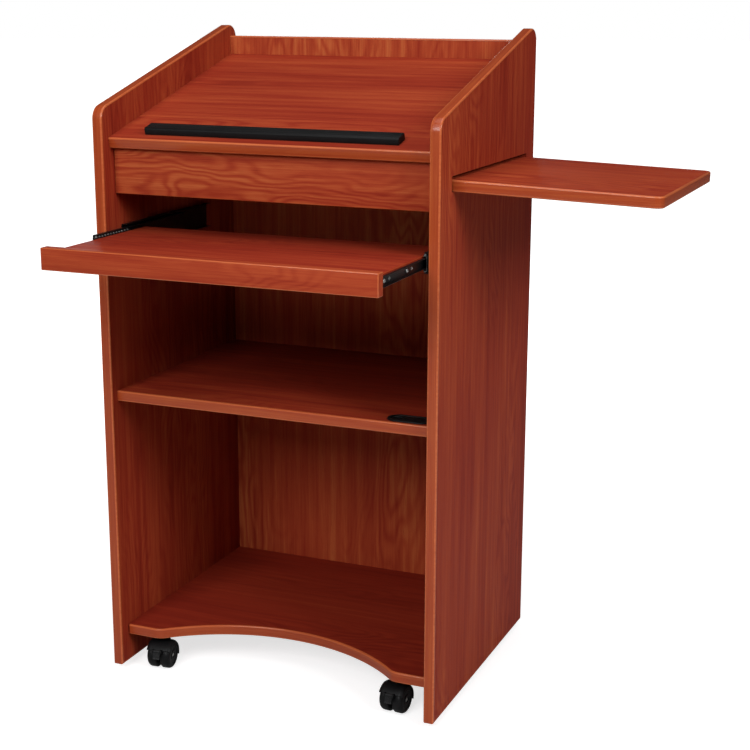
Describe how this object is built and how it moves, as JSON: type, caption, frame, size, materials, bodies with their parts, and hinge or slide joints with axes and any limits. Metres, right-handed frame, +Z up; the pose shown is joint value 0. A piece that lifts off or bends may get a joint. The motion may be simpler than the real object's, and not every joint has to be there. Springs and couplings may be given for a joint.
{
  "type": "presentation lectern",
  "caption": "Wheeled wood lectern with a sloping reading surface, open shelves, a pull-out keyboard tray and a pull-out side shelf.",
  "frame": {"origin": "on the floor, under the middle of the whole outline with the keyboard tray drawn part-way out and the side shelf fully out; the cabinet's own middle is 0.169 m towards -X and 0.0995 m towards +Y from it", "axes": "+X to the user's right, the way the side shelf pulls out; +Y away from the user, towards the audience; +Z up"},
  "size_m": [0.9713, 0.696, 1.1601],
  "materials": {
    "veneer": "satin cherry laminate",
    "veneer_edge": "satin rounded cherry edge banding",
    "carcass_wood": "unfinished hardwood, matt",
    "black_plastic": "fine-textured black moulding",
    "caster_tread": "satin black nylon",
    "black_steel": "black zinc plating, semi-gloss",
    "zinc_steel": "bright zinc plating"
  },
  "bodies": {
    "cabinet": {"left_side_panel": "veneer", "right_side_panel": "veneer", "back_panel": "veneer", "reading_surface": "veneer", "front_fascia": "veneer", "middle_shelf": "veneer", "base_shelf": "veneer", "left_panel_edge_band": "veneer_edge", "right_panel_edge_band": "veneer_edge", "back_panel_top_band": "veneer_edge", "reading_surface_nosing": "veneer_edge", "middle_shelf_edge_band": "veneer_edge", "base_shelf_edge_band": "veneer_edge", "book_stop": "black_plastic", "grommet_liner": "black_plastic", "left_slide_cabinet_member": "black_steel", "right_slide_cabinet_member": "black_steel", "side_shelf_front_runner": "carcass_wood", "side_shelf_rear_runner": "carcass_wood", "side_shelf_front_keeper": "carcass_wood", "side_shelf_rear_keeper": "carcass_wood", "caster_front_left_plate": "zinc_steel", "caster_front_right_plate": "zinc_steel", "caster_rear_left_plate": "zinc_steel", "caster_rear_right_plate": "zinc_steel"},
    "keyboard_tray": {"tray_board": "veneer", "tray_front_rail": "veneer", "left_slide_tray_member": "black_steel", "right_slide_tray_member": "black_steel", "left_slide_screw_front": "zinc_steel", "left_slide_screw_rear": "zinc_steel", "right_slide_screw_front": "zinc_steel", "right_slide_screw_rear": "zinc_steel"},
    "left_slide_carriage": {"left_slide_middle_member": "black_steel"},
    "right_slide_carriage": {"right_slide_middle_member": "black_steel"},
    "side_shelf_board": {"side_shelf": "veneer", "side_shelf_edge_band": "veneer_edge", "side_shelf_stop_block": "carcass_wood"},
    "grommet_lid": {"grommet_cap": "black_plastic"},
    "front_left_swivel": {"caster_front_left_hood": "black_plastic", "caster_front_left_axle": "zinc_steel"},
    "front_left_wheel_left": {"caster_front_left_wheel_left": "caster_tread"},
    "front_left_wheel_right": {"caster_front_left_wheel_right": "caster_tread"},
    "front_left_brake": {"caster_front_left_brake_pedal": "black_plastic"},
    "front_right_swivel": {"caster_front_right_hood": "black_plastic", "caster_front_right_axle": "zinc_steel"},
    "front_right_wheel_left": {"caster_front_right_wheel_left": "caster_tread"},
    "front_right_wheel_right": {"caster_front_right_wheel_right": "caster_tread"},
    "front_right_brake": {"caster_front_right_brake_pedal": "black_plastic"},
    "rear_left_swivel": {"caster_rear_left_hood": "black_plastic", "caster_rear_left_axle": "zinc_steel"},
    "rear_left_wheel_left": {"caster_rear_left_wheel_left": "caster_tread"},
    "rear_left_wheel_right": {"caster_rear_left_wheel_right": "caster_tread"},
    "rear_right_swivel": {"caster_rear_right_hood": "black_plastic", "caster_rear_right_axle": "zinc_steel"},
    "rear_right_wheel_left": {"caster_rear_right_wheel_left": "caster_tread"},
    "rear_right_wheel_right": {"caster_rear_right_wheel_right": "caster_tread"}
  },
  "joints": [
    {"name": "keyboard_tray_slide", "type": "slide", "parent": "cabinet", "child": "keyboard_tray", "axis": [0, -1, 0], "range_m": [-0.2175, 0.0875]},
    {"name": "left_slide_carriage_run", "type": "slide", "parent": "cabinet", "child": "left_slide_carriage", "axis": [0, -1, 0], "range_m": [-0.096, 0.03862]},
    {"name": "right_slide_carriage_run", "type": "slide", "parent": "cabinet", "child": "right_slide_carriage", "axis": [0, -1, 0], "range_m": [-0.043, 0.0173]},
    {"name": "side_shelf_slide", "type": "slide", "parent": "cabinet", "child": "side_shelf_board", "axis": [0.9996, 0, -0.0297], "range_m": [-0.3265, 0]},
    {"name": "grommet_cap_lift", "type": "slide", "parent": "cabinet", "child": "grommet_lid", "axis": [0, 0, 1], "range_m": [0, 0.02]},
    {"name": "front_left_caster_swivel", "type": "hinge", "parent": "cabinet", "child": "front_left_swivel", "pos_m": [-0.41118, -0.0855, 0.045], "axis": [0, 0, 1], "continuous": true},
    {"name": "front_left_wheel_left_spin", "type": "hinge", "parent": "front_left_swivel", "child": "front_left_wheel_left", "pos_m": [-0.40923, -0.10138, 0.02488], "axis": [0.9925, 0.1219, 0], "continuous": true},
    {"name": "front_left_wheel_right_spin", "type": "hinge", "parent": "front_left_swivel", "child": "front_left_wheel_right", "pos_m": [-0.40923, -0.10138, 0.02488], "axis": [0.9925, 0.1219, 0], "continuous": true},
    {"name": "front_left_brake_press", "type": "hinge", "parent": "front_left_swivel", "child": "front_left_brake", "pos_m": [-0.40606, -0.12719, 0.03988], "axis": [0.9925, 0.1219, 0], "range_deg": [0, 15]},
    {"name": "front_right_caster_swivel", "type": "hinge", "parent": "cabinet", "child": "front_right_swivel", "pos_m": [0.06082, -0.0855, 0.045], "axis": [0, 0, 1], "continuous": true},
    {"name": "front_right_wheel_left_spin", "type": "hinge", "parent": "front_right_swivel", "child": "front_right_wheel_left", "pos_m": [0.05943, -0.10144, 0.02488], "axis": [0.9962, -0.0872, 0], "continuous": true},
    {"name": "front_right_wheel_right_spin", "type": "hinge", "parent": "front_right_swivel", "child": "front_right_wheel_right", "pos_m": [0.05943, -0.10144, 0.02488], "axis": [0.9962, -0.0872, 0], "continuous": true},
    {"name": "front_right_brake_press", "type": "hinge", "parent": "front_right_swivel", "child": "front_right_brake", "pos_m": [0.05716, -0.12734, 0.03988], "axis": [0.9962, -0.0872, 0], "range_deg": [0, 15]},
    {"name": "rear_left_caster_swivel", "type": "hinge", "parent": "cabinet", "child": "rear_left_swivel", "pos_m": [-0.40618, 0.2645, 0.045], "axis": [0, 0, 1], "continuous": true},
    {"name": "rear_left_wheel_left_spin", "type": "hinge", "parent": "rear_left_swivel", "child": "rear_left_wheel_left", "pos_m": [-0.4034, 0.24874, 0.02488], "axis": [0.9848, 0.1736, 0], "continuous": true},
    {"name": "rear_left_wheel_right_spin", "type": "hinge", "parent": "rear_left_swivel", "child": "rear_left_wheel_right", "pos_m": [-0.4034, 0.24874, 0.02488], "axis": [0.9848, 0.1736, 0], "continuous": true},
    {"name": "rear_right_caster_swivel", "type": "hinge", "parent": "cabinet", "child": "rear_right_swivel", "pos_m": [0.06782, 0.2645, 0.045], "axis": [0, 0, 1], "continuous": true},
    {"name": "rear_right_wheel_left_spin", "type": "hinge", "parent": "rear_right_swivel", "child": "rear_right_wheel_left", "pos_m": [0.0645, 0.24885, 0.02488], "axis": [0.9781, -0.2079, 0], "continuous": true},
    {"name": "rear_right_wheel_right_spin", "type": "hinge", "parent": "rear_right_swivel", "child": "rear_right_wheel_right", "pos_m": [0.0645, 0.24885, 0.02488], "axis": [0.9781, -0.2079, 0], "continuous": true}
  ],
  "couplings": [
    {"joint": "left_slide_carriage_run", "follows": "keyboard_tray_slide", "ratio": 0.44138},
    {"joint": "right_slide_carriage_run", "follows": "keyboard_tray_slide", "ratio": 0.1977}
  ]
}
